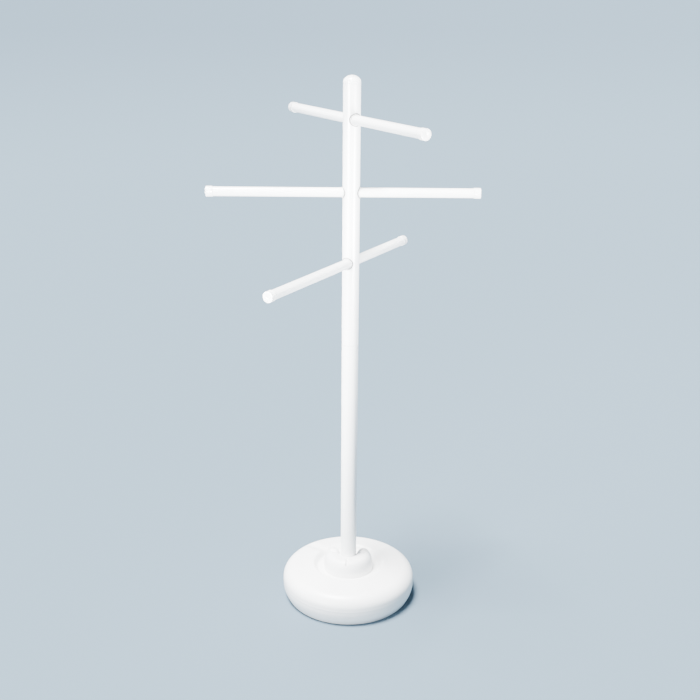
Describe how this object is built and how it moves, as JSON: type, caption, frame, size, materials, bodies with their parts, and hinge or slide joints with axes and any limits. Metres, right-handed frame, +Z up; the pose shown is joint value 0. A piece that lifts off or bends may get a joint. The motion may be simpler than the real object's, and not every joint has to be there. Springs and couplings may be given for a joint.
{
  "type": "towel tree",
  "caption": "Free-standing towel tree: a round fillable base, a two-piece pole and straight hanging arms that slide through bushings at staggered heights and headings.",
  "frame": {"origin": "on the floor, at the centre of the base's underside, on the pole's axis", "axes": "+Z up along the pole; +X along the middle arm; +Y away from the front of the hub, towards the fill cap"},
  "size_m": [0.762, 0.7223, 1.5815],
  "materials": {
    "base_white": "satin blow-moulded polyethylene",
    "pipe_white": "smooth extruded PVC",
    "fitting_white": "injection-moulded PVC",
    "bushing_white": "satin injection-moulded nylon",
    "cap_white": "satin injection-moulded polyethylene",
    "gasket_rubber": "matt rubber"
  },
  "bodies": {
    "base": {"base_tank": "base_white"},
    "fill_cap_gasket": {"fill_cap_gasket": "gasket_rubber"},
    "fill_cap": {"fill_cap": "cap_white"},
    "lower_pole": {"pole_lower": "pipe_white", "pole_coupling": "fitting_white"},
    "upper_pole": {"pole_upper": "pipe_white", "pole_top_cap": "fitting_white", "bushing_top_left": "bushing_white", "bushing_top_right": "bushing_white", "bushing_middle_left": "bushing_white", "bushing_middle_right": "bushing_white", "bushing_bottom_left": "bushing_white", "bushing_bottom_right": "bushing_white"},
    "arm_top": {"arm_top_tube": "pipe_white", "arm_top_cap_left": "fitting_white", "arm_top_cap_right": "fitting_white"},
    "arm_middle": {"arm_middle_tube": "pipe_white", "arm_middle_cap_left": "fitting_white", "arm_middle_cap_right": "fitting_white"},
    "arm_bottom": {"arm_bottom_tube": "pipe_white", "arm_bottom_cap_left": "fitting_white", "arm_bottom_cap_right": "fitting_white"}
  },
  "joints": [
    {"name": "fill_cap_lift", "type": "slide", "parent": "base", "child": "fill_cap_gasket", "axis": [0, 0, 1], "range_m": [0, 0.01125]},
    {"name": "fill_cap_turn", "type": "hinge", "parent": "fill_cap_gasket", "child": "fill_cap", "pos_m": [0, 0.06212, 0.1064], "axis": [0, 0, 1], "range_deg": [0, 900]},
    {"name": "pole_swivel", "type": "hinge", "parent": "base", "child": "lower_pole", "pos_m": [0, 0, 0.012], "axis": [0, 0, 1], "continuous": true},
    {"name": "upper_pole_lift_off", "type": "slide", "parent": "lower_pole", "child": "upper_pole", "axis": [0, 0, 1], "range_m": [0, 0.06]},
    {"name": "arm_top_slide", "type": "slide", "parent": "upper_pole", "child": "arm_top", "axis": [0.4695, -0.8829, 0], "range_m": [-0.3362, 0.3354]},
    {"name": "arm_middle_slide", "type": "slide", "parent": "upper_pole", "child": "arm_middle", "axis": [1, 0, 0], "range_m": [-0.3135, 0.3579]},
    {"name": "arm_bottom_slide", "type": "slide", "parent": "upper_pole", "child": "arm_bottom", "axis": [0.4848, 0.8746, 0], "range_m": [-0.2906, 0.381]}
  ],
  "couplings": [
    {"joint": "fill_cap_lift", "follows": "fill_cap_turn", "m_per_rad": 0.000716}
  ]
}
